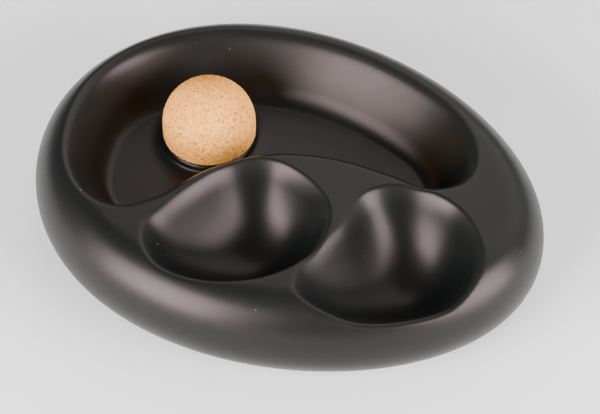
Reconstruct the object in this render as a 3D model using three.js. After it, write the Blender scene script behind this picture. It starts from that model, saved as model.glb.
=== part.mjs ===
// Two-pipe ashtray: a heavy glazed ceramic dish with an ash bowl and two pipe rests,
// a domed cork knocker that pushes onto a ceramic peg, and four felt pads under the foot.
// Millimetres, +Z up. The origin is at the middle of the dish, on the surface it stands on.
// +X is the long way of the dish, and the pipe rests lie along its -Y side.

import * as THREE from 'three';
import { ParametricGeometry } from 'three/addons/geometries/ParametricGeometry.js';
import { mergeVertices } from 'three/addons/utils/BufferGeometryUtils.js';

// Felt pads
const PAD_RADIUS = 7;
const PAD_THICKNESS = 1.5;
const PAD_SIDES = 32;
const PAD_ANGLES = { rear_right: 45, rear_left: 135, front_left: 225, front_right: 315 };
const CONTACT_GAP = 0.3;

// Outline of the dish, an oval that is a little narrower at its right end
const HALF_LENGTH = 98.3;
const HALF_WIDTH = 75.5;
const EGG = -0.08;

// Heights
const FOOT_Z = PAD_THICKNESS + CONTACT_GAP;
const WIDEST_Z = 17;
const RIM_Z = 38;
const BOWL_FLOOR_Z = 15.5;
const BOSS_Z = 19.5;
const BASE_RECESS = 2.5;

// Roundings of the outer wall, measured inwards from the outline
const SHOULDER_INSET = 15.8;
const FOOT_INSET = 11;
const FOOT_WIDTH = 22;
const RECESS_SLOPE = 3;

// Ash bowl: its lip, and how its wall runs down to the floor. The rear wall leans out more.
const BOWL_LIP = [
  [-78, -27], [-63, -41.8], [-49, -43.3], [-38, -34.5], [-25.5, -14.5], [-7.5, 0.8],
  [14, 7.6], [37, 8.1], [52, 7.2], [62.5, 15], [62.5, 27], [50, 44],
  [29, 55], [-4.5, 61.7], [-36, 57], [-61, 46], [-78.5, 28.7], [-85.6, 4.7],
];
const LIP_ROLL = 5;
const FLOOR_FILLET = 6;
const BOWL_WALL_RUN = 12.5;
const REAR_LEAN = 4.5;

// Pipe rests: each is a smooth hollow inside its lip, deeper to the right of its middle
const PIPE_RESTS = [
  {
    lip: [
      [-34.8, -49], [-26, -61.3], [-6, -62.5], [13, -53], [24.5, -35],
      [20.5, -14.5], [-2, -3.6], [-17, -9], [-26.3, -23], [-32.6, -39],
    ],
    middle: -4,
  },
  {
    lip: [
      [24.4, -47], [28, -55.5], [45.5, -57.4], [65, -48.2], [79, -34],
      [80.5, -16], [66, 0.7], [47, 3.8], [33.8, -3.8], [30.2, -22],
    ],
    middle: 53,
  },
];
const REST_STEEPNESS = 5.8;
const REST_LEAN = 0.006;
const REST_LIP_ROLL = 7;
const TINY = 1e-9;

// Boss and peg that carry the knocker, on the knocker's axis
const KNOCKER_X = -39.9;
const KNOCKER_Y = 16.4;
const PEG_RADIUS = 5;
const PEG_HEIGHT = 12;
const PEG_CHAMFER = 1;
const BOSS_RADIUS = 18;
const BOSS_SHOULDER = 2;
const BOSS_FILLET = 6;

// Cork knocker
const CORK_RADIUS = 18;
const CORK_SIDE_HEIGHT = 5.8;
const CORK_EDGE = 0.8;
const BORE_RADIUS = PEG_RADIUS + CONTACT_GAP;
const BORE_DEPTH = PEG_HEIGHT + 1;
const CORK_SIDES = 48;
const DOME_STEPS = 10;

// How finely the dish is divided
const DISH_SIDES = 100;
const FIELD_RINGS = 32;
const CURVE_STEPS = 5;
const LIP_STEPS = 160;
const MERGE_DISTANCE = 1e-4;
const CELL_CORNERS = 6;

const QUARTER_TURN = Math.PI / 2;
const FULL_TURN = Math.PI * 2;

function glazeMaterial() {
  return new THREE.MeshStandardMaterial({ color: 0x231f1f, roughness: 0.38, metalness: 0.15 });
}

function corkMaterial() {
  return new THREE.MeshStandardMaterial({ color: 0xd8b487, roughness: 0.9, metalness: 0 });
}

function feltMaterial() {
  return new THREE.MeshStandardMaterial({ color: 0x2c2c2b, roughness: 1, metalness: 0 });
}

// A closed smooth line through a lip's points, as evenly spaced points.
function lipLine(points) {
  const corners = points.map(([x, y]) => new THREE.Vector3(x, y, 0));
  return new THREE.CatmullRomCurve3(corners, true, 'centripetal').getSpacedPoints(LIP_STEPS);
}

// How far a point lies inside a closed line; negative outside it.
function depthInside(line, x, y) {
  let nearest = Infinity;
  let inside = false;
  for (let i = 0; i < LIP_STEPS; i += 1) {
    const a = line[i];
    const b = line[i + 1];
    const ex = b.x - a.x;
    const ey = b.y - a.y;
    const along = ((x - a.x) * ex + (y - a.y) * ey) / (ex * ex + ey * ey);
    const t = THREE.MathUtils.clamp(along, 0, 1);
    nearest = Math.min(nearest, Math.hypot(x - a.x - t * ex, y - a.y - t * ey));
    if ((a.y > y) !== (b.y > y) && x < a.x + ex * (y - a.y) / ey) {
      inside = !inside;
    }
  }
  return inside ? nearest : -nearest;
}

// A smooth hump inside a closed line: half the distance to the line near it, rounding off
// towards the middle, and negative outside.
function hollow(line, x, y) {
  let sum = 0;
  for (let i = 0; i < LIP_STEPS; i += 1) {
    const ax = line[i].x - x;
    const ay = line[i].y - y;
    const bx = line[i + 1].x - x;
    const by = line[i + 1].y - y;
    const near = Math.hypot(ax, ay);
    const far = Math.hypot(bx, by);
    const tangent = (ax * by - ay * bx) / (near * far + ax * bx + ay * by + TINY);
    sum += tangent * (1 / near + 1 / far);
  }
  return 1 / sum;
}

// Nothing below -roll, the depth itself above roll, and a round bend between the two.
function rolledOver(depth, roll) {
  if (depth <= -roll) {
    return 0;
  }
  return depth >= roll ? depth : (depth + roll) ** 2 / (4 * roll);
}

const bowlLine = lipLine(BOWL_LIP);
const restLines = PIPE_RESTS.map((rest) => lipLine(rest.lip));

function bowlDrop(x, y) {
  const depth = RIM_Z - BOWL_FLOOR_Z;
  const run = BOWL_WALL_RUN + REAR_LEAN * THREE.MathUtils.smoothstep(y, 0, HALF_WIDTH);
  const wall = rolledOver(depthInside(bowlLine, x, y) * depth / run, LIP_ROLL);
  return depth - rolledOver(depth - wall, FLOOR_FILLET);
}

function restDrop(index, x, y) {
  const lean = 1 + REST_LEAN * (x - PIPE_RESTS[index].middle);
  return rolledOver(REST_STEEPNESS * lean * hollow(restLines[index], x, y), REST_LIP_ROLL);
}

// Height of the top of the dish, where it would be landZ without the bowl and the rests.
function topZ(x, y, landZ) {
  return landZ - bowlDrop(x, y) - restDrop(0, x, y) - restDrop(1, x, y);
}

function outline(turn) {
  const across = Math.sin(turn) * (1 + EGG * Math.cos(turn));
  return new THREE.Vector2(HALF_LENGTH * Math.cos(turn), HALF_WIDTH * across);
}

// A point of the outline moved straight inwards by inset.
function insetOutline(turn, inset) {
  const step = 1e-4;
  const along = outline(turn + step).sub(outline(turn - step)).normalize();
  return outline(turn).add(new THREE.Vector2(-along.y, along.x).multiplyScalar(inset));
}

function knockerCircle(turn, radius) {
  const axis = new THREE.Vector2(KNOCKER_X, KNOCKER_Y);
  return outline(turn).sub(axis).setLength(radius).add(axis);
}

// The dish as rings, from the peg's tip outwards over the top, round the side and in under
// the base. A ring gives its point for each turn round the dish.
function dishRings() {
  const rings = [];
  const circle = (radius, z) => {
    rings.push((turn) => {
      const p = knockerCircle(turn, radius);
      return new THREE.Vector3(p.x, p.y, Math.max(z, topZ(p.x, p.y, RIM_Z)));
    });
  };
  const band = (inset, height) => {
    rings.push((turn) => {
      const p = insetOutline(turn, inset);
      return new THREE.Vector3(p.x, p.y, height(p));
    });
  };
  const pegZ = BOSS_Z + PEG_HEIGHT;
  circle(0, pegZ);
  circle(PEG_RADIUS - PEG_CHAMFER, pegZ);
  circle(PEG_RADIUS, pegZ - PEG_CHAMFER);
  circle(PEG_RADIUS, BOSS_Z);
  for (let i = 0; i <= CURVE_STEPS - 2; i += 1) {
    const bend = QUARTER_TURN * i / (CURVE_STEPS - 2);
    circle(
      BOSS_RADIUS - BOSS_SHOULDER * (1 - Math.sin(bend)),
      BOSS_Z - BOSS_SHOULDER * (1 - Math.cos(bend)),
    );
  }
  const filletTop = BOSS_Z - BOSS_SHOULDER;
  for (let i = 1; i <= CURVE_STEPS - 2; i += 1) {
    const bend = QUARTER_TURN * i / (CURVE_STEPS - 2);
    circle(
      BOSS_RADIUS + BOSS_FILLET * (1 - Math.cos(bend)),
      filletTop - (filletTop - BOWL_FLOOR_Z) * Math.sin(bend),
    );
  }
  for (let i = 1; i < FIELD_RINGS; i += 1) {
    rings.push((turn) => {
      const inner = knockerCircle(turn, BOSS_RADIUS + BOSS_FILLET);
      const p = inner.lerp(insetOutline(turn, SHOULDER_INSET), i / FIELD_RINGS);
      return new THREE.Vector3(p.x, p.y, topZ(p.x, p.y, RIM_Z));
    });
  }
  for (let i = CURVE_STEPS; i >= 0; i -= 1) {
    const bend = QUARTER_TURN * i / CURVE_STEPS;
    const landZ = WIDEST_Z + (RIM_Z - WIDEST_Z) * Math.sin(bend);
    band(SHOULDER_INSET * (1 - Math.cos(bend)), (p) => topZ(p.x, p.y, landZ));
  }
  for (let i = 1; i <= CURVE_STEPS; i += 1) {
    const bend = QUARTER_TURN * i / CURVE_STEPS;
    band(FOOT_INSET * (1 - Math.cos(bend)), () => WIDEST_Z - (WIDEST_Z - FOOT_Z) * Math.sin(bend));
  }
  band(FOOT_INSET + FOOT_WIDTH, () => FOOT_Z);
  band(FOOT_INSET + FOOT_WIDTH + RECESS_SLOPE, () => FOOT_Z + BASE_RECESS);
  rings.push(() => new THREE.Vector3(0, 0, FOOT_Z + BASE_RECESS));
  return rings;
}

// The triangles of one four-cornered cell, cut along its shorter diagonal.
function splitCell(corners, [a, b, c, d]) {
  const along = corners[a].distanceTo(corners[c]);
  const across = corners[b].distanceTo(corners[d]);
  return along < across ? [[a, b, c], [a, c, d]] : [[a, b, d], [b, c, d]];
}

// A surface of cells as one closed skin: shared corners are merged, and the flat triangles at
// the two poles, where a whole ring is one point, are left out.
function closedSkin(surface) {
  surface.deleteAttribute('normal');
  surface.deleteAttribute('uv');
  const skin = mergeVertices(surface, MERGE_DISTANCE);
  const place = skin.getAttribute('position');
  const corners = Array.from({ length: place.count }, (_, i) => (
    new THREE.Vector3().fromBufferAttribute(place, i)
  ));
  const old = skin.index.array;
  const kept = [];
  for (let i = 0; i < old.length; i += CELL_CORNERS) {
    const cell = [old[i], old[i + 1], old[i + 4], old[i + 2]];
    const whole = splitCell(corners, cell).filter((three) => new Set(three).size === 3);
    kept.push(...whole.flat());
  }
  skin.setIndex(kept);
  skin.computeVertexNormals();
  return skin;
}

function makeTray() {
  const rings = dishRings();
  const last = rings.length - 1;
  const surface = new ParametricGeometry(
    (u, v, target) => target.copy(rings[Math.round(v * last)](((1 - u) % 1) * FULL_TURN)),
    DISH_SIDES,
    last,
  );
  const tray = new THREE.Mesh(closedSkin(surface), glazeMaterial());
  tray.name = 'tray';
  return tray;
}

function corkProfile() {
  const profile = [
    new THREE.Vector2(0, BORE_DEPTH),
    new THREE.Vector2(BORE_RADIUS, BORE_DEPTH),
    new THREE.Vector2(BORE_RADIUS, 0),
    new THREE.Vector2(CORK_RADIUS - CORK_EDGE, 0),
    new THREE.Vector2(CORK_RADIUS, CORK_EDGE),
  ];
  for (let i = 0; i <= DOME_STEPS; i += 1) {
    const bend = QUARTER_TURN * i / DOME_STEPS;
    const radius = i === DOME_STEPS ? 0 : CORK_RADIUS * Math.cos(bend);
    profile.push(new THREE.Vector2(radius, CORK_SIDE_HEIGHT + CORK_RADIUS * Math.sin(bend)));
  }
  return profile;
}

function makeCorkKnocker() {
  const cork = new THREE.Mesh(new THREE.LatheGeometry(corkProfile(), CORK_SIDES), corkMaterial());
  cork.rotation.x = QUARTER_TURN;
  cork.position.set(KNOCKER_X, KNOCKER_Y, BOSS_Z + CONTACT_GAP);
  cork.name = 'cork_knocker';
  return cork;
}

function makeFeltPad(place, degrees) {
  const disc = new THREE.CylinderGeometry(PAD_RADIUS, PAD_RADIUS, PAD_THICKNESS, PAD_SIDES);
  const pad = new THREE.Mesh(disc, feltMaterial());
  const at = insetOutline(THREE.MathUtils.degToRad(degrees), FOOT_INSET + FOOT_WIDTH / 2);
  pad.rotation.x = QUARTER_TURN;
  pad.position.set(at.x, at.y, PAD_THICKNESS / 2);
  pad.name = `felt_pad_${place}`;
  return pad;
}

const ashtray = new THREE.Group();
ashtray.add(makeTray());
ashtray.add(makeCorkKnocker());
for (const [place, degrees] of Object.entries(PAD_ANGLES)) {
  ashtray.add(makeFeltPad(place, degrees));
}

export default ashtray;
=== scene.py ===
"""Two-pipe ashtray: a satin-glazed ceramic dish, its cork knocker and its felt pads.

The script is laid out as an add-on. Each piece has an operator of its own, and main() calls
them in order. Lengths in the property groups are metres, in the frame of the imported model.
"""

import math

import bmesh
import bpy
import numpy as np
from bpy.props import FloatProperty, FloatVectorProperty, PointerProperty
from bpy.types import Operator, Panel, PropertyGroup
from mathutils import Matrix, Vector


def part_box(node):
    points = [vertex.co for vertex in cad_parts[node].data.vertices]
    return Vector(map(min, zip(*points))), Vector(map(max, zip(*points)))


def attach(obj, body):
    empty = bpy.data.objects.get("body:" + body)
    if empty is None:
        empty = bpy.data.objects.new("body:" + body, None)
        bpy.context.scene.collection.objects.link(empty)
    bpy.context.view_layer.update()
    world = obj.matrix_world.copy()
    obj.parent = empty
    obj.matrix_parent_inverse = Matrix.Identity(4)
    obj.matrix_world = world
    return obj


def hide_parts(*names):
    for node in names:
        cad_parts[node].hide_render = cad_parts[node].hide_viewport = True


bl_info = {
    "name": "Pipe Ashtray",
    "version": (1, 0, 0),
    "blender": (4, 5, 0),
    "location": "3D View > Sidebar > Ashtray",
    "description": "Builds a two-pipe ceramic ashtray with a cork knocker",
    "category": "Object",
}

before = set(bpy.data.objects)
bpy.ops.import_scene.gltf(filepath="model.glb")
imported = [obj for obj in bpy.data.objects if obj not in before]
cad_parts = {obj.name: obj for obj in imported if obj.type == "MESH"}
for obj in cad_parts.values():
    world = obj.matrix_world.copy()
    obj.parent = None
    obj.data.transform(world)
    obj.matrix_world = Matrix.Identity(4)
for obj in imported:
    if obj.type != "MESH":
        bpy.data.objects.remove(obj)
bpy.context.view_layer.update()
TRAY_LOW, TRAY_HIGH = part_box("tray")
CORK_LOW, CORK_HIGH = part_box("cork_knocker")
KNOCKER_AXIS = ((CORK_LOW.x + CORK_HIGH.x) / 2, (CORK_LOW.y + CORK_HIGH.y) / 2)
PAD_PLACES = ("front_left", "front_right", "rear_left", "rear_right")
MM = 0.001

# Play round the peg, and the cork's height over its boss.
GAP = 0.3 * MM
# How far the cork's granules stay inside its outline.
CORK_EASE = 0.02 * MM
# Worn or moulded edges of the peg's tip and of the felt pads.
PEG_CHAMFER = 1 * MM
PAD_EDGE = 0.35 * MM

# How far from a lip the glaze runs thin, across it and down from the rim.
THIN_GLAZE_WIDTH = 2.2 * MM
THIN_GLAZE_DROP = 9 * MM

# Loose fibres of the felt: how many to a square metre, their size, and the most that one is
# tilted and turned, in radians. None stand on the underside, where the upward part of a
# face's normal is below FIBRE_FACING.
FIBRE_DENSITY = 4.0e6
FIBRE_LENGTH = 0.35 * MM
FIBRE_THICKNESS = 0.03 * MM
FIBRE_TILT = 1.1
FIBRE_TURN = 6.28
FIBRE_FACING = -0.1

# How finely the lips and the surfaces are divided.
CURVE_SAMPLES = 40
LIP_STEPS = 240
DISH_SIDES = 440
FIELD_RINGS = 140
PEG_STEPS = 4
BOSS_STEPS = 8
SHOULDER_STEPS = 22
SIDE_STEPS = 12
CORK_SIDES = 260
CORK_EDGE_STEPS = 6
DOME_STEPS = 80
PAD_SIDES = 64
PAD_STEPS = 4

# Distances and areas that count as nothing, in metres and square metres.
TOUCHING = 1e-9
NO_AREA = 1e-15

# The ash bowl's lip, as the few points its smooth closed line runs through, in millimetres.
BOWL_LIP = (
    (-78, -27), (-63, -41.8), (-49, -43.3), (-38, -34.5), (-25.5, -14.5), (-7.5, 0.8),
    (14, 7.6), (37, 8.1), (52, 7.2), (62.5, 15), (62.5, 27), (50, 44),
    (29, 55), (-4.5, 61.7), (-36, 57), (-61, 46), (-78.5, 28.7), (-85.6, 4.7),
)
# Each pipe rest: the points of its lip, and how far along its middle lies.
PIPE_RESTS = (
    (
        (
            (-34.8, -49), (-26, -61.3), (-6, -62.5), (13, -53), (24.5, -35),
            (20.5, -14.5), (-2, -3.6), (-17, -9), (-26.3, -23), (-32.6, -39),
        ),
        -4,
    ),
    (
        (
            (24.4, -47), (28, -55.5), (45.5, -57.4), (65, -48.2), (79, -34),
            (80.5, -16), (66, 0.7), (47, 3.8), (33.8, -3.8), (30.2, -22),
        ),
        53,
    ),
)

# Each light: its name, its direction in degrees from +X and above the floor, and its distance,
# width, height and radiance.
SOFTBOXES = (
    ("left_softbox", -117, 20, 0.9, 0.64, 0.62, 22.5),
    ("right_softbox", -9, 19, 0.9, 0.66, 0.60, 19.5),
    ("rear_card", 80, 44, 1.1, 1.5, 1.0, 1.9),
)
FLOOR_HALF = 3.0
CAMERA_CENTRE = Vector((0, 0, 15.4 * MM))
CAMERA_SHIFT = Vector((5.42, -1.98, 0)) * MM

# Colours of small marks, and the tint of what the glaze reflects.
DUST_COLOUR = (0.30, 0.28, 0.26, 1)
GROG_COLOUR = (0.07, 0.05, 0.04, 1)
GLAZE_TINT = (1.0, 0.79, 0.78, 1)


# ---------------------------------------------------------------------------
# Properties: the sizes and colours that a user would change
# ---------------------------------------------------------------------------


def length(name, description, default):
    return FloatProperty(
        name=name, description=description, default=default, unit="LENGTH", precision=4
    )


def colour(name, description, default):
    return FloatVectorProperty(
        name=name, description=description, default=default, subtype="COLOR", min=0, max=1
    )


class DishSizes(PropertyGroup):
    """Sizes of the ceramic dish."""

    half_length: length("Half length", "Middle to either end", TRAY_HIGH.x)
    half_width: length("Half width", "Middle to either side", 75.5 * MM)
    egg: FloatProperty(name="Egg", description="How much the right end narrows", default=-0.08)
    foot_height: length("Foot height", "Height of the foot's flat face", TRAY_LOW.z)
    rim_height: length("Rim height", "Height of the rim and the ridges", TRAY_HIGH.z)
    widest_height: length("Widest height", "Where the side stands upright", 17 * MM)
    floor_height: length("Bowl floor", "Height of the ash bowl's floor", 15.5 * MM)
    shoulder_inset: length("Shoulder", "How far the top rounding reaches in", 15.8 * MM)
    foot_inset: length("Foot inset", "How far the foot stands in", 11 * MM)
    foot_width: length("Foot width", "Width of the foot's flat ring", 22 * MM)
    recess: length("Base recess", "How far the base is hollowed inside the foot", 2.5 * MM)
    recess_slope: length("Recess slope", "Width of the slope into the recess", 3 * MM)
    lip_roll: length("Lip roll", "Drop over which a lip is rounded", 5 * MM)
    floor_fillet: length("Floor fillet", "Rise over which the floor is rounded", 6 * MM)
    wall_run: length("Wall run", "Lip to floor at the front and the ends", 12.5 * MM)
    rear_lean: length("Rear lean", "How much further the rear wall runs out", 4.5 * MM)
    rest_roll: length("Rest roll", "Drop over which a rest's lip is rounded", 7 * MM)
    rest_steepness: FloatProperty(
        name="Rest steepness", description="Twice the slope of a rest's wall", default=5.8
    )
    rest_lean: FloatProperty(
        name="Rest lean", description="Share deeper per metre to the right", default=6.0
    )
    boss_radius: length("Boss radius", "Boss under the cork", 18 * MM)
    boss_shoulder: length("Boss shoulder", "Rounding of the boss's edge", 2 * MM)
    boss_fillet: length("Boss fillet", "Rounding from the boss to the floor", 6 * MM)
    peg_radius: length("Peg radius", "Peg that the cork pushes onto", 5 * MM)
    peg_height: length("Peg height", "Height of the peg over its boss", 12 * MM)


class CorkSizes(PropertyGroup):
    """Sizes of the cork knocker."""

    side_height: length("Side height", "Base to the start of the dome", 5.8 * MM)
    bore_depth: length("Bore depth", "Depth of the blind bore", 13 * MM)
    edge: length("Edge", "Worn rounding of the lower edge", 0.8 * MM)
    granule: length("Granule", "Size of the pressed cork granules", 1.1 * MM)
    relief: length("Relief", "Depth of the joints between granules", 0.30 * MM)


class Finishes(PropertyGroup):
    """Colours of the finishes."""

    glaze: colour("Glaze", "Glaze where it lies thick", (0.0038, 0.0052, 0.0047))
    glaze_lip: colour("Glaze at the lips", "Glaze where it runs thin", (0.0070, 0.0080, 0.0074))
    clay: colour("Clay", "Bare fired clay of the foot", (0.20, 0.155, 0.12))
    cork_light: colour("Cork, light", "Palest granules", (1.0, 0.45, 0.095))
    cork_dark: colour("Cork, dark", "Darkest granules", (0.70, 0.255, 0.042))
    cork_pore: colour("Cork pores", "Small dark pores", (0.27, 0.085, 0.02))
    bark: colour("Bark flecks", "Specks of bark in the cork", (0.10, 0.05, 0.025))
    felt: colour("Felt", "Stick-on felt pads", (0.022, 0.022, 0.024))
    floor: colour("Floor", "Plain pale floor", (0.86, 0.86, 0.86))


class StageSizes(PropertyGroup):
    """Camera and lights."""

    azimuth: FloatProperty(
        name="Azimuth", description="Camera's turn from the front", default=math.radians(23.03),
        subtype="ANGLE",
    )
    elevation: FloatProperty(
        name="Elevation", description="Camera's height angle", default=math.radians(49.32),
        subtype="ANGLE",
    )
    distance: length("Distance", "Camera to the dish", 0.8229)
    lens: FloatProperty(name="Lens", description="Focal length", default=130.85, unit="CAMERA")
    room: FloatProperty(name="Room", description="Light from all round", default=0.3)


# ---------------------------------------------------------------------------
# Lines and heights of the dish, in metres
# ---------------------------------------------------------------------------


def lip_line(points):
    """A closed centripetal Catmull-Rom line through points, as evenly spaced points."""
    corners = np.array(points, float) * MM
    stretches = []
    for i in range(len(corners)):
        before, start, end, after = (corners[(i + k) % len(corners)] for k in (-1, 0, 1, 2))
        first, middle, last = (
            math.sqrt(np.linalg.norm(a - b))
            for a, b in ((before, start), (start, end), (end, after))
        )
        leave = (start - before) / first - (end - before) / (first + middle)
        leave = (leave + (end - start) / middle) * middle
        arrive = (end - start) / middle - (after - start) / (middle + last)
        arrive = (arrive + (after - end) / last) * middle
        t = np.linspace(0, 1, CURVE_SAMPLES, endpoint=False)[:, None]
        bend = 3 * (end - start) - 2 * leave - arrive
        twist = 2 * (start - end) + leave + arrive
        stretches.append(start + leave * t + bend * t**2 + twist * t**3)
    line = np.concatenate([*stretches, stretches[0][:1]])
    run = np.concatenate([[0], np.cumsum(np.linalg.norm(np.diff(line, axis=0), axis=1))])
    even = np.linspace(0, run[-1], LIP_STEPS + 1)
    return np.stack([np.interp(even, run, line[:, k]) for k in (0, 1)], axis=1)


def depth_inside(line, places):
    """How far each place lies inside a closed line; negative outside it."""
    start, side = line[:-1], np.diff(line, axis=0)
    x, y = places[..., 0, None], places[..., 1, None]
    dx, dy = x - start[:, 0], y - start[:, 1]
    along = (dx * side[:, 0] + dy * side[:, 1]) / (side**2).sum(axis=1)
    along = np.clip(along, 0, 1)
    nearest = np.hypot(dx - along * side[:, 0], dy - along * side[:, 1]).min(axis=-1)
    straddles = (start[:, 1] > y) != (line[1:, 1] > y)
    slope = side[:, 0] / np.where(side[:, 1] == 0, 1, side[:, 1])
    crossings = (straddles & (dx < slope * dy)).sum(axis=-1)
    return np.where(crossings % 2 == 1, nearest, -nearest)


def hollow(line, places):
    """A smooth single hump inside a closed line: half the distance to the line near it.

    It rounds off towards the middle, and is negative outside the line.
    """
    x, y = places[..., 0, None], places[..., 1, None]
    dx, dy = line[:, 0] - x, line[:, 1] - y
    near = np.maximum(np.hypot(dx, dy), TOUCHING)
    cross = dx[..., :-1] * dy[..., 1:] - dy[..., :-1] * dx[..., 1:]
    dot = dx[..., :-1] * dx[..., 1:] + dy[..., :-1] * dy[..., 1:]
    half_angle = cross / (near[..., :-1] * near[..., 1:] + dot + NO_AREA)
    return 1 / (half_angle * (1 / near[..., :-1] + 1 / near[..., 1:])).sum(axis=-1)


def rolled_over(depth, roll):
    """Nothing below -roll, the depth itself above roll, and a round bend between the two."""
    bend = (depth + roll) ** 2 / (4 * roll)
    return np.where(depth <= -roll, 0, np.where(depth >= roll, depth, bend))


def smooth_step(value, low, high):
    """Eases from 0 at low to 1 at high."""
    t = np.clip((value - low) / (high - low), 0, 1)
    return t * t * (3 - 2 * t)


class Dish:
    """The dish's surface, worked out from its sizes."""

    def __init__(self, sizes):
        self.sizes = sizes
        self.bowl = lip_line(BOWL_LIP)
        self.rests = [(lip_line(lip), middle * MM) for lip, middle in PIPE_RESTS]
        self.axis = np.array(KNOCKER_AXIS)
        self.boss_top = CORK_LOW.z - GAP

    def outline(self, turns):
        s = self.sizes
        across = np.sin(turns) * (1 + s.egg * np.cos(turns))
        return np.stack([s.half_length * np.cos(turns), s.half_width * across], axis=-1)

    def inset(self, turns, distance):
        """The outline moved straight inwards."""
        step = 1e-4
        along = self.outline(turns + step) - self.outline(turns - step)
        along /= np.linalg.norm(along, axis=-1, keepdims=True)
        inwards = np.stack([-along[:, 1], along[:, 0]], axis=-1)
        return self.outline(turns) + inwards * distance

    def circle(self, turns, radius):
        """A circle round the knocker's axis, each point facing its point of the outline."""
        spokes = self.outline(turns) - self.axis
        return self.axis + spokes / np.linalg.norm(spokes, axis=-1, keepdims=True) * radius

    def top(self, places, land):
        """Height of the top, where it would be land without the bowl and the rests."""
        s = self.sizes
        depth = s.rim_height - s.floor_height
        run = s.wall_run + s.rear_lean * smooth_step(places[..., 1], 0, s.half_width)
        wall = rolled_over(depth_inside(self.bowl, places) * depth / run, s.lip_roll)
        drop = depth - rolled_over(depth - wall, s.floor_fillet)
        for line, middle in self.rests:
            lean = 1 + s.rest_lean * (places[..., 0] - middle)
            drop = drop + rolled_over(s.rest_steepness * lean * hollow(line, places), s.rest_roll)
        return land - drop


# ---------------------------------------------------------------------------
# Meshes
# ---------------------------------------------------------------------------


def new_object(name, mesh):
    piece = bpy.data.objects.new(name, mesh)
    bpy.context.collection.objects.link(piece)
    return piece


def skin_of_rings(name, rings):
    """A closed mesh over rings of equal length; the first and the last ring are one point."""
    count = len(rings[1])
    vertices = np.concatenate([rings[0][:1], *rings[1:-1], rings[-1][:1]])
    last = len(vertices) - 1
    faces = []
    for side in range(count):
        following = (side + 1) % count
        faces.append((0, 1 + side, 1 + following))
        for ring in range(len(rings) - 3):
            near, far = 1 + ring * count, 1 + (ring + 1) * count
            faces.append((near + side, far + side, far + following, near + following))
        edge = 1 + (len(rings) - 3) * count
        faces.append((edge + following, edge + side, last))
    mesh = bpy.data.meshes.new(name)
    mesh.from_pydata(vertices.tolist(), [], faces)
    mesh.validate()
    mesh.shade_smooth()
    return mesh


def turned_rings(axis, base, profile, sides):
    """Rings round an upright axis, one for each (radius, height over base) of a profile."""
    turns = np.linspace(0, 2 * math.pi, sides, endpoint=False)
    spokes = np.stack([np.cos(turns), np.sin(turns)], axis=1)
    return [at_height(np.array(axis) + spokes * r, base + h) for r, h in profile]


def face_outwards(mesh):
    """Turns every face outwards, so that the closed mesh has a positive volume."""
    shape = bmesh.new()
    shape.from_mesh(mesh)
    bmesh.ops.recalc_face_normals(shape, faces=shape.faces)
    if shape.calc_volume(signed=True) < 0:
        bmesh.ops.reverse_faces(shape, faces=shape.faces)
    shape.to_mesh(mesh)
    shape.free()


def arc_steps(count):
    """Turns from 0 to a quarter circle, without the first."""
    return [math.pi / 2 * i / count for i in range(1, count + 1)]


def at_height(places, height):
    """Flat places lifted to a height, or each to its own."""
    heights = np.broadcast_to(height, places.shape[:-1])
    return np.concatenate([places, heights[..., None]], axis=-1)


def dish_rings(dish):
    """Rings from the peg's tip outwards over the top, round the side and in under the base."""
    s = dish.sizes
    turns = np.linspace(0, 2 * math.pi, DISH_SIDES, endpoint=False)
    rings = []

    def circle(radius, height):
        places = dish.circle(turns, radius)
        rings.append(at_height(places, np.maximum(height, dish.top(places, s.rim_height))))

    peg_top = dish.boss_top + s.peg_height
    circle(0, peg_top)
    for share in (0.4, 0.8, 1):
        circle((s.peg_radius - PEG_CHAMFER) * share, peg_top)
    for bend in arc_steps(PEG_STEPS):
        circle(
            s.peg_radius - PEG_CHAMFER * (1 - math.sin(bend)),
            peg_top - PEG_CHAMFER * (1 - math.cos(bend)),
        )
    for share in np.linspace(1, 0, 8)[1:]:
        circle(s.peg_radius, dish.boss_top + (s.peg_height - PEG_CHAMFER) * share)
    flat = s.boss_radius - s.boss_shoulder - s.peg_radius
    for share in np.linspace(0, 1, 10)[1:]:
        circle(s.peg_radius + flat * share, dish.boss_top)
    for bend in arc_steps(BOSS_STEPS):
        circle(
            s.boss_radius - s.boss_shoulder * (1 - math.sin(bend)),
            dish.boss_top - s.boss_shoulder * (1 - math.cos(bend)),
        )
    fillet_top = dish.boss_top - s.boss_shoulder
    for bend in arc_steps(BOSS_STEPS):
        circle(
            s.boss_radius + s.boss_fillet * (1 - math.cos(bend)),
            fillet_top - (fillet_top - s.floor_height) * math.sin(bend),
        )
    inner = dish.circle(turns, s.boss_radius + s.boss_fillet)
    outer = dish.inset(turns, s.shoulder_inset)
    for share in np.linspace(0, 1, FIELD_RINGS + 1)[1:-1]:
        places = inner + (outer - inner) * share
        rings.append(at_height(places, dish.top(places, s.rim_height)))
    for bend in reversed([0, *arc_steps(SHOULDER_STEPS)]):
        places = dish.inset(turns, s.shoulder_inset * (1 - math.cos(bend)))
        land = s.widest_height + (s.rim_height - s.widest_height) * math.sin(bend)
        rings.append(at_height(places, dish.top(places, land)))
    for bend in arc_steps(SIDE_STEPS):
        places = dish.inset(turns, s.foot_inset * (1 - math.cos(bend)))
        side = (s.widest_height - s.foot_height) * math.sin(bend)
        rings.append(at_height(places, s.widest_height - side))
    for share in (0.05, 0.5, 0.95, 1):
        places = dish.inset(turns, s.foot_inset + s.foot_width * share)
        rings.append(at_height(places, s.foot_height))
    for share in (0.15, 0.5, 0.85, 1):
        places = dish.inset(turns, s.foot_inset + s.foot_width + s.recess_slope * share)
        rings.append(at_height(places, s.foot_height + s.recess * smooth_step(share, 0, 1)))
    recess_edge = dish.inset(turns, s.foot_inset + s.foot_width + s.recess_slope)
    for share in (0.97, 0.5, 0):
        rings.append(at_height(recess_edge * share, s.foot_height + s.recess))
    return rings


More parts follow.
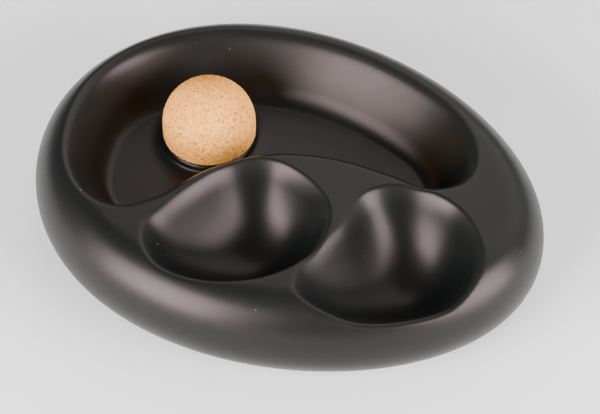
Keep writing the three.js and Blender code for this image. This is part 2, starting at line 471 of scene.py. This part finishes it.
# ---------------------------------------------------------------------------
# Shader helpers
# ---------------------------------------------------------------------------


class Nodes:
    """Adds nodes to a tree and links them, each in one call."""

    def __init__(self, tree):
        self.tree = tree

    def add(self, kind, settings=None, **inputs):
        node = self.tree.nodes.new(kind)
        for key, value in (settings or {}).items():
            setattr(node, key, value)
        for key, value in inputs.items():
            self.feed(node, key.replace("_", " "), value)
        return node

    def feed(self, node, name, value):
        """Links a socket, or sets a plain value."""
        socket = node.inputs[name]
        if isinstance(value, bpy.types.NodeSocket):
            self.tree.links.new(value, socket)
        else:
            socket.default_value = value

    def math(self, operation, first, second, clamp=False):
        node = self.add("ShaderNodeMath", {"operation": operation, "use_clamp": clamp})
        self.feed(node, 0, first)
        self.feed(node, 1, second)
        return node.outputs[0]

    def mix(self, factor, first, second):
        """The first colour where factor is 0, the second where it is 1."""
        node = self.add("ShaderNodeMix", {"data_type": "RGBA"})
        self.feed(node, 0, factor)
        self.feed(node, 6, first)
        self.feed(node, 7, second)
        return node.outputs[2]

    def span(self, value, low, high, to_low=0.0, to_high=1.0):
        """Eases a value that runs from low to high into one from to_low to to_high."""
        node = self.add("ShaderNodeMapRange", {"interpolation_type": "SMOOTHSTEP"})
        for index, number in enumerate((value, low, high, to_low, to_high)):
            self.feed(node, index, number)
        return node.outputs[0]


def group(name, inputs, outputs, fill):
    """A shader node group with named inputs (name: default) and outputs (name: socket type).

    An input without a default is a vector.
    """
    if name in bpy.data.node_groups:
        return bpy.data.node_groups[name]
    tree = bpy.data.node_groups.new(name, "ShaderNodeTree")
    for label, default in inputs.items():
        kind = "NodeSocketVector" if default is None else "NodeSocketFloat"
        socket = tree.interface.new_socket(label, in_out="INPUT", socket_type=kind)
        if default is not None:
            socket.default_value = default
    for label, kind in outputs.items():
        tree.interface.new_socket(label, in_out="OUTPUT", socket_type=kind)
    nodes = Nodes(tree)
    start = nodes.add("NodeGroupInput")
    finish = nodes.add("NodeGroupOutput")
    for label, socket in fill(nodes, start.outputs).items():
        tree.links.new(socket, finish.inputs[label])
    return tree


def specks_group():
    """Small scattered round marks: dust, pinholes, flecks."""

    def fill(nodes, inputs):
        cells = nodes.add(
            "ShaderNodeTexVoronoi", {"feature": "F1"},
            Vector=inputs["Vector"], Scale=inputs["Scale"], Randomness=1.0,
        )
        chance = nodes.add("ShaderNodeSeparateColor", Color=cells.outputs["Color"])
        chosen = nodes.math("LESS_THAN", chance.outputs[0], inputs["Share"])
        size = nodes.math("MULTIPLY", inputs["Size"], chance.outputs[1])
        near = nodes.math("SUBTRACT", size, cells.outputs["Distance"])
        near = nodes.math("MULTIPLY", near, 12.0, clamp=True)
        return {"Mask": nodes.math("MULTIPLY", near, chosen)}

    return group(
        "Scattered Specks",
        {"Vector": None, "Scale": 400.0, "Share": 0.1, "Size": 0.2},
        {"Mask": "NodeSocketFloat"},
        fill,
    )


def grain_group():
    """Fine uneven grain at two scales, for roughness and bump."""

    def fill(nodes, inputs):
        broad = nodes.add(
            "ShaderNodeTexNoise", Vector=inputs["Vector"], Scale=inputs["Broad Scale"],
            Detail=4.0, Roughness=0.6,
        )
        fine = nodes.add(
            "ShaderNodeTexNoise", Vector=inputs["Vector"], Scale=inputs["Fine Scale"],
            Detail=3.0, Roughness=0.7,
        )
        return {"Broad": broad.outputs["Fac"], "Fine": fine.outputs["Fac"]}

    return group(
        "Fine Grain",
        {"Vector": None, "Broad Scale": 30.0, "Fine Scale": 900.0},
        {"Broad": "NodeSocketFloat", "Fine": "NodeSocketFloat"},
        fill,
    )


def use_group(nodes, tree, **inputs):
    return nodes.add("ShaderNodeGroup", {"node_tree": tree}, **inputs).outputs


def new_material(name):
    """A material with a Principled BSDF, and its nodes and object coordinates."""
    material = bpy.data.materials.new(name)
    material.use_nodes = True
    material.node_tree.nodes.clear()
    nodes = Nodes(material.node_tree)
    shader = nodes.add("ShaderNodeBsdfPrincipled")
    output = nodes.add("ShaderNodeOutputMaterial")
    material.node_tree.links.new(shader.outputs[0], output.inputs[0])
    coordinates = nodes.add("ShaderNodeTexCoord").outputs["Object"]
    return material, nodes, shader, coordinates


def rgba(colour_value):
    """A property's colour with the alpha that a socket needs."""
    return (*colour_value, 1.0)


def bump(nodes, height, distance, strength):
    node = nodes.add("ShaderNodeBump", Height=height, Distance=distance, Strength=strength)
    return node.outputs[0]


def glaze_material(finishes):
    """Satin glaze, thin at the lips, with a little dust and a few pinholes."""
    material, nodes, shader, place = new_material("satin_glaze")
    grain = use_group(nodes, grain_group(), Vector=place, Broad_Scale=22.0, Fine_Scale=1500.0)
    lip = nodes.add("ShaderNodeAttribute", {"attribute_name": "lip"}).outputs["Fac"]
    thin = nodes.math("MULTIPLY", lip, nodes.span(grain["Broad"], 0.3, 0.7, 0.5, 1.0))
    glaze = nodes.mix(thin, rgba(finishes.glaze), rgba(finishes.glaze_lip))
    dust = use_group(nodes, specks_group(), Vector=place, Scale=260.0, Share=0.22, Size=0.10)
    facing = nodes.add("ShaderNodeNewGeometry").outputs["Normal"]
    up = nodes.add("ShaderNodeSeparateXYZ", Vector=facing)
    lying = nodes.span(up.outputs[2], 0.2, 0.9)
    dusty = nodes.math("MULTIPLY", dust["Mask"], lying)
    nodes.feed(shader, "Base Color", nodes.mix(dusty, glaze, DUST_COLOUR))
    rough = nodes.span(grain["Broad"], 0.25, 0.75, 0.33, 0.40)
    nodes.feed(shader, "Roughness", nodes.math("ADD", rough, nodes.math("MULTIPLY", dusty, 0.3)))
    nodes.feed(shader, "IOR", 1.35)
    nodes.feed(shader, "Specular Tint", GLAZE_TINT)
    pinholes = use_group(nodes, specks_group(), Vector=place, Scale=190.0, Share=0.10, Size=0.09)
    height = nodes.math("SUBTRACT", nodes.math("MULTIPLY", grain["Fine"], 0.25), pinholes["Mask"])
    nodes.feed(shader, "Normal", bump(nodes, height, distance=0.04 * MM, strength=0.6))
    return material


def clay_material(finishes):
    """Bare fired clay with dark grains of grog."""
    material, nodes, shader, place = new_material("bare_clay")
    grain = use_group(nodes, grain_group(), Vector=place, Broad_Scale=60.0, Fine_Scale=1800.0)
    grog = use_group(nodes, specks_group(), Vector=place, Scale=700.0, Share=0.3, Size=0.35)
    dark = tuple(part * 0.55 for part in finishes.clay)
    body = nodes.mix(nodes.span(grain["Broad"], 0.3, 0.7), rgba(dark), rgba(finishes.clay))
    nodes.feed(shader, "Base Color", nodes.mix(grog["Mask"], body, GROG_COLOUR))
    nodes.feed(shader, "Roughness", nodes.span(grain["Fine"], 0.2, 0.8, 0.75, 0.95))
    nodes.feed(shader, "Normal", bump(nodes, grain["Fine"], distance=0.1 * MM, strength=0.8))
    return material


def cork_material(finishes):
    """Pressed cork: pale and dark granules, pores and flecks of bark."""
    material, nodes, shader, place = new_material("pressed_cork")
    wobble = nodes.add("ShaderNodeTexNoise", Vector=place, Scale=1400.0, Detail=2.0)
    offset = nodes.add("ShaderNodeVectorMath", {"operation": "SCALE"}, Scale=0.9 * MM)
    nodes.feed(offset, 0, wobble.outputs["Color"])
    bent = nodes.add("ShaderNodeVectorMath", {"operation": "ADD"})
    nodes.feed(bent, 0, place)
    nodes.feed(bent, 1, offset.outputs[0])
    crumbled = bent.outputs[0]
    granules = nodes.add("ShaderNodeTexVoronoi", Vector=crumbled, Scale=1500.0)
    tone = nodes.add("ShaderNodeSeparateColor", Color=granules.outputs["Color"])
    grain = use_group(nodes, grain_group(), Vector=place, Broad_Scale=420.0, Fine_Scale=1500.0)
    shade = nodes.math("MULTIPLY", tone.outputs[0], 0.5)
    shade = nodes.math("ADD", shade, nodes.math("MULTIPLY", grain["Broad"], 0.5))
    body = nodes.mix(
        nodes.span(shade, 0.2, 0.8), rgba(finishes.cork_light), rgba(finishes.cork_dark)
    )
    pores = nodes.span(grain["Fine"], 0.52, 0.70, 0.0, 0.55)
    body = nodes.mix(pores, body, rgba(finishes.cork_pore))
    small = use_group(nodes, specks_group(), Vector=crumbled, Scale=800.0, Share=0.60, Size=0.42)
    body = nodes.mix(nodes.math("MULTIPLY", small["Mask"], 0.7), body, rgba(finishes.cork_pore))
    bark = use_group(nodes, specks_group(), Vector=crumbled, Scale=480.0, Share=0.40, Size=0.28)
    body = nodes.mix(nodes.math("MULTIPLY", bark["Mask"], 0.8), body, rgba(finishes.bark))
    nodes.feed(shader, "Base Color", body)
    nodes.feed(shader, "Roughness", nodes.span(grain["Fine"], 0.2, 0.8, 0.85, 1.0))
    nodes.feed(shader, "Specular IOR Level", 0.15)
    marks = nodes.math("ADD", bark["Mask"], small["Mask"])
    pits = nodes.math("SUBTRACT", grain["Fine"], nodes.math("MULTIPLY", marks, 0.5))
    nodes.feed(shader, "Normal", bump(nodes, pits, distance=0.25 * MM, strength=0.8))
    return material


def felt_material(finishes):
    """Dark wool felt with a soft sheen."""
    material, nodes, shader, place = new_material("wool_felt")
    grain = use_group(nodes, grain_group(), Vector=place, Broad_Scale=300.0, Fine_Scale=4200.0)
    light = tuple(min(1.0, part * 2.6 + 0.01) for part in finishes.felt)
    nodes.feed(shader, "Base Color", nodes.mix(grain["Fine"], rgba(finishes.felt), rgba(light)))
    nodes.feed(shader, "Roughness", nodes.span(grain["Broad"], 0.2, 0.8, 0.9, 1.0))
    nodes.feed(shader, "Sheen Weight", 0.35)
    nodes.feed(shader, "Normal", bump(nodes, grain["Fine"], distance=0.2 * MM, strength=0.9))
    return material


# ---------------------------------------------------------------------------
# Geometry node helpers
# ---------------------------------------------------------------------------


def geometry_tree(name, inputs):
    """A geometry node tree with a mesh in and out, and named inputs (name: (kind, value))."""
    tree = bpy.data.node_groups.new(name, "GeometryNodeTree")
    tree.interface.new_socket("Geometry", in_out="INPUT", socket_type="NodeSocketGeometry")
    identifiers = {}
    for label, (kind, _) in inputs.items():
        socket = tree.interface.new_socket(label, in_out="INPUT", socket_type=kind)
        identifiers[label] = socket.identifier
    tree.interface.new_socket("Geometry", in_out="OUTPUT", socket_type="NodeSocketGeometry")
    nodes = Nodes(tree)
    start = nodes.add("NodeGroupInput").outputs
    finish = nodes.add("NodeGroupOutput")
    return tree, nodes, start, finish, identifiers


def evaluated_piece(base, tree, identifiers, inputs, name):
    """Runs a geometry node tree on base, and returns the result as a plain mesh object."""
    modifier = base.modifiers.new(tree.name, "NODES")
    modifier.node_group = tree
    for label, (_, value) in inputs.items():
        modifier[identifiers[label]] = value
    bpy.context.view_layer.update()
    shown = base.evaluated_get(bpy.context.evaluated_depsgraph_get())
    mesh = bpy.data.meshes.new_from_object(shown)
    mesh.name = name
    base.modifiers.remove(modifier)
    bpy.data.objects.remove(base)
    return new_object(name, mesh)


def end_tree(nodes, geometry, start, finish):
    """Ends a tree with real geometry in its material."""
    plain = nodes.add("GeometryNodeRealizeInstances", Geometry=geometry)
    coat = nodes.add(
        "GeometryNodeSetMaterial", Geometry=plain.outputs[0], Material=start["Material"]
    )
    nodes.feed(finish, 0, coat.outputs[0])


def cork_relief_tree(inputs):
    """Sinks the joints between granules, and roughens the surface a little."""
    tree, nodes, start, finish, identifiers = geometry_tree("Cork Granules", inputs)
    place = nodes.add("GeometryNodeInputPosition").outputs[0]
    scale = nodes.math("DIVIDE", 1.0, start["Granule"])
    joints = nodes.add(
        "ShaderNodeTexVoronoi", {"feature": "DISTANCE_TO_EDGE"}, Vector=place, Scale=scale
    )
    joint = nodes.math("MULTIPLY", joints.outputs["Distance"], 5.0, clamp=True)
    rough_scale = nodes.math("MULTIPLY", scale, 1.7)
    rough = nodes.add("ShaderNodeTexNoise", Vector=place, Scale=rough_scale, Detail=3.0)
    height = nodes.math("ADD", nodes.math("MULTIPLY", joint, 0.6), rough.outputs["Fac"])
    height = nodes.math("SUBTRACT", height, 1.5)
    height = nodes.math("MULTIPLY", height, start["Relief"])
    offset = nodes.add("ShaderNodeVectorMath", {"operation": "SCALE"}, Scale=height)
    nodes.feed(offset, 0, nodes.add("GeometryNodeInputNormal").outputs[0])
    move = nodes.add(
        "GeometryNodeSetPosition", Geometry=start["Geometry"], Offset=offset.outputs[0]
    )
    end_tree(nodes, move.outputs[0], start, finish)
    return tree, identifiers


def felt_fibres_tree(inputs):
    """Stands short loose fibres on a pad's top and side, and keeps the pad under them."""
    tree, nodes, start, finish, identifiers = geometry_tree("Felt Fibres", inputs)
    facing = nodes.add("GeometryNodeInputNormal").outputs[0]
    upwards = nodes.add("ShaderNodeSeparateXYZ", Vector=facing).outputs[2]
    spread = nodes.add(
        "GeometryNodeDistributePointsOnFaces",
        Mesh=start["Geometry"], Density=start["Density"], Seed=start["Seed"],
        Selection=nodes.math("GREATER_THAN", upwards, FIBRE_FACING),
    )
    fibre = nodes.add(
        "GeometryNodeMeshCone", {"fill_type": "NONE"},
        Vertices=3, Radius_Bottom=start["Thickness"], Depth=start["Length"],
    )
    tilt = nodes.add("FunctionNodeRandomValue", {"data_type": "FLOAT_VECTOR"})
    nodes.feed(tilt, 0, (-FIBRE_TILT, -FIBRE_TILT, 0.0))
    nodes.feed(tilt, 1, (FIBRE_TILT, FIBRE_TILT, FIBRE_TURN))
    turn = nodes.add(
        "FunctionNodeRotateRotation", {"rotation_space": "LOCAL"},
        Rotation=spread.outputs["Rotation"],
    )
    nodes.feed(turn, 1, tilt.outputs[0])
    stand = nodes.add(
        "GeometryNodeInstanceOnPoints",
        Points=spread.outputs["Points"], Instance=fibre.outputs[0], Rotation=turn.outputs[0],
    )
    both = nodes.add("GeometryNodeJoinGeometry")
    nodes.feed(both, 0, start["Geometry"])
    nodes.feed(both, 0, stand.outputs[0])
    end_tree(nodes, both.outputs[0], start, finish)
    return tree, identifiers


# ---------------------------------------------------------------------------
# Pieces
# ---------------------------------------------------------------------------


def mark_lips(mesh, dish):
    """Writes how near each vertex lies to a lip, where the glaze runs thin."""
    count = len(mesh.vertices)
    places = np.empty(count * 3)
    mesh.vertices.foreach_get("co", places)
    places = places.reshape(count, 3)
    near = np.full(count, np.inf)
    for line in (dish.bowl, *(line for line, _ in dish.rests)):
        near = np.minimum(near, np.abs(depth_inside(line, places[:, :2])))
    rim = dish.sizes.rim_height
    high = smooth_step(places[:, 2], rim - THIN_GLAZE_DROP, rim)
    thin = np.exp(-((near / THIN_GLAZE_WIDTH) ** 2)) * high
    mesh.attributes.new("lip", "FLOAT", "POINT").data.foreach_set("value", thin)


class ASHTRAY_OT_dish(Operator):
    """Make the glazed ceramic dish with its bowl, its pipe rests, its boss and its peg"""

    bl_idname = "ashtray.dish"
    bl_label = "Make Dish"

    def execute(self, context):
        sizes = context.scene.ashtray_dish
        finishes = context.scene.ashtray_finishes
        dish = Dish(sizes)
        mesh = skin_of_rings("ceramic_dish", dish_rings(dish))
        face_outwards(mesh)
        mark_lips(mesh, dish)
        mesh.materials.append(glaze_material(finishes))
        mesh.materials.append(clay_material(finishes))
        # The flat of the foot is wiped bare of glaze.
        bare_below = sizes.foot_height + 0.01 * MM
        for face in mesh.polygons:
            if face.center.z < bare_below:
                face.material_index = 1
        piece = new_object("ceramic_dish", mesh)
        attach(piece, "dish")
        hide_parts("tray")
        return {"FINISHED"}


def cork_rings(sizes, bore):
    """Rings from the top of the bore down, out under the base and up over the dome."""
    radius = (CORK_HIGH.x - CORK_LOW.x) / 2 - CORK_EASE
    profile = [(0, sizes.bore_depth), (bore * 0.5, sizes.bore_depth), (bore, sizes.bore_depth)]
    profile += [(bore, sizes.bore_depth * share) for share in np.linspace(1, 0, 10)[1:]]
    profile += [(bore + (radius - sizes.edge - bore) * k, 0) for k in np.linspace(0, 1, 16)[1:]]
    for bend in arc_steps(CORK_EDGE_STEPS):
        out = sizes.edge * (1 - math.sin(bend))
        profile.append((radius - out, sizes.edge * (1 - math.cos(bend))))
    rise = sizes.side_height - sizes.edge
    profile += [(radius, sizes.edge + rise * k) for k in np.linspace(0, 1, 22)[1:]]
    for bend in arc_steps(DOME_STEPS):
        profile.append((radius * math.cos(bend), sizes.side_height + radius * math.sin(bend)))
    return turned_rings(KNOCKER_AXIS, CORK_LOW.z, profile, CORK_SIDES)


class ASHTRAY_OT_cork(Operator):
    """Make the domed cork knocker with its blind bore and its pressed granules"""

    bl_idname = "ashtray.cork"
    bl_label = "Make Cork Knocker"

    def execute(self, context):
        sizes = context.scene.ashtray_cork
        bore = context.scene.ashtray_dish.peg_radius + GAP
        mesh = skin_of_rings("cork_base", cork_rings(sizes, bore))
        face_outwards(mesh)
        base = new_object("cork_base", mesh)
        inputs = {
            "Granule": ("NodeSocketFloat", sizes.granule),
            "Relief": ("NodeSocketFloat", sizes.relief),
            "Material": ("NodeSocketMaterial", cork_material(context.scene.ashtray_finishes)),
        }
        tree, identifiers = cork_relief_tree(inputs)
        piece = evaluated_piece(base, tree, identifiers, inputs, "cork_dome")
        piece.data.shade_smooth()
        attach(piece, "cork")
        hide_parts("cork_knocker")
        return {"FINISHED"}


def pad_mesh(low, high):
    """A round pad with softly worn edges."""
    centre = ((low.x + high.x) / 2, (low.y + high.y) / 2)
    radius = (high.x - low.x) / 2
    thick = high.z - low.z
    worn = PAD_EDGE
    profile = [(radius * share, thick) for share in (0, 0.35, 0.7)] + [(radius - worn, thick)]
    for bend in arc_steps(PAD_STEPS):
        profile.append((radius - worn * (1 - math.sin(bend)), thick - worn * (1 - math.cos(bend))))
    profile.append((radius, worn))
    for bend in arc_steps(PAD_STEPS):
        profile.append((radius - worn * (1 - math.cos(bend)), worn * (1 - math.sin(bend))))
    profile += [(radius * share, 0) for share in (0.7, 0.35, 0)]
    return skin_of_rings("pad", turned_rings(centre, low.z, profile, PAD_SIDES))


class ASHTRAY_OT_felt_pads(Operator):
    """Make the four felt pads with their loose fibres"""

    bl_idname = "ashtray.felt_pads"
    bl_label = "Make Felt Pads"

    def execute(self, context):
        material = felt_material(context.scene.ashtray_finishes)
        for seed, place in enumerate(PAD_PLACES):
            node = f"felt_pad_{place}"
            mesh = pad_mesh(*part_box(node))
            face_outwards(mesh)
            base = new_object("pad_base", mesh)
            inputs = {
                "Density": ("NodeSocketFloat", FIBRE_DENSITY),
                "Length": ("NodeSocketFloat", FIBRE_LENGTH),
                "Thickness": ("NodeSocketFloat", FIBRE_THICKNESS),
                "Seed": ("NodeSocketInt", seed),
                "Material": ("NodeSocketMaterial", material),
            }
            tree, identifiers = felt_fibres_tree(inputs)
            piece = evaluated_piece(base, tree, identifiers, inputs, f"felt_{place}")
            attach(piece, "dish")
            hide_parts(node)
        return {"FINISHED"}


# ---------------------------------------------------------------------------
# Stage
# ---------------------------------------------------------------------------


def add_softbox(name, azimuth, elevation, distance, width, height, radiance):
    """A rectangular light aimed at the dish, as bright as radiance from any side."""
    turn, rise = math.radians(azimuth), math.radians(elevation)
    towards = Vector((
        math.cos(turn) * math.cos(rise), math.sin(turn) * math.cos(rise), math.sin(rise)
    ))
    data = bpy.data.lights.new(name, "AREA")
    data.shape = "RECTANGLE"
    data.size, data.size_y = width, height
    data.energy = radiance * math.pi * width * height
    light = bpy.data.objects.new(name, data)
    light.location = towards * distance
    light.rotation_euler = (-towards).to_track_quat("-Z", "Y").to_euler()
    bpy.context.collection.objects.link(light)


def floor_material(finishes):
    """Plain pale card, very slightly uneven."""
    material, nodes, shader, place = new_material("pale_floor")
    grain = use_group(nodes, grain_group(), Vector=place, Broad_Scale=2.0, Fine_Scale=60.0)
    dim = tuple(part * 0.985 for part in finishes.floor)
    nodes.feed(shader, "Base Color", nodes.mix(grain["Broad"], rgba(finishes.floor), rgba(dim)))
    nodes.feed(shader, "Roughness", 0.95)
    return material


class ASHTRAY_OT_stage(Operator):
    """Make the floor, the lights and the camera"""

    bl_idname = "ashtray.stage"
    bl_label = "Make Stage"

    def execute(self, context):
        scene = context.scene
        sizes = scene.ashtray_stage
        half = FLOOR_HALF
        corners = [(-half, -half, 0), (half, -half, 0), (half, half, 0), (-half, half, 0)]
        mesh = bpy.data.meshes.new("floor")
        mesh.from_pydata(corners, [], [(0, 1, 2, 3)])
        mesh.materials.append(floor_material(scene.ashtray_finishes))
        new_object("floor", mesh)

        for softbox in SOFTBOXES:
            add_softbox(*softbox)
        world = bpy.data.worlds.new("room")
        world.use_nodes = True
        background = world.node_tree.nodes["Background"]
        background.inputs["Color"].default_value = (1, 1, 1, 1)
        background.inputs["Strength"].default_value = sizes.room
        scene.world = world

        data = bpy.data.cameras.new("camera")
        data.lens = sizes.lens
        camera = bpy.data.objects.new("camera", data)
        back = Vector((
            math.sin(sizes.azimuth) * math.cos(sizes.elevation),
            -math.cos(sizes.azimuth) * math.cos(sizes.elevation),
            math.sin(sizes.elevation),
        ))
        camera.location = CAMERA_CENTRE + back * sizes.distance
        aim = CAMERA_CENTRE + CAMERA_SHIFT
        camera.rotation_euler = (aim - camera.location).to_track_quat("-Z", "Y").to_euler()
        context.collection.objects.link(camera)
        scene.camera = camera
        return {"FINISHED"}


# ---------------------------------------------------------------------------
# Panel and registration
# ---------------------------------------------------------------------------

OPERATORS = (ASHTRAY_OT_stage, ASHTRAY_OT_dish, ASHTRAY_OT_cork, ASHTRAY_OT_felt_pads)
SETTINGS = {
    "ashtray_dish": DishSizes,
    "ashtray_cork": CorkSizes,
    "ashtray_finishes": Finishes,
    "ashtray_stage": StageSizes,
}


class ASHTRAY_PT_panel(Panel):
    """Lists the ashtray's pieces"""

    bl_idname = "ASHTRAY_PT_panel"
    bl_label = "Pipe Ashtray"
    bl_space_type = "VIEW_3D"
    bl_region_type = "UI"
    bl_category = "Ashtray"

    def draw(self, context):
        for operator in OPERATORS:
            self.layout.operator(operator.bl_idname)


def register():
    for item in (*SETTINGS.values(), *OPERATORS, ASHTRAY_PT_panel):
        bpy.utils.register_class(item)
    for name, group_type in SETTINGS.items():
        setattr(bpy.types.Scene, name, PointerProperty(type=group_type))


def unregister():
    for name in SETTINGS:
        delattr(bpy.types.Scene, name)
    for item in (ASHTRAY_PT_panel, *reversed(OPERATORS), *SETTINGS.values()):
        bpy.utils.unregister_class(item)


def main():
    """Makes everything in order."""
    register()
    bpy.ops.ashtray.stage()
    bpy.ops.ashtray.dish()
    bpy.ops.ashtray.cork()
    bpy.ops.ashtray.felt_pads()


if __name__ == "__main__":
    main()
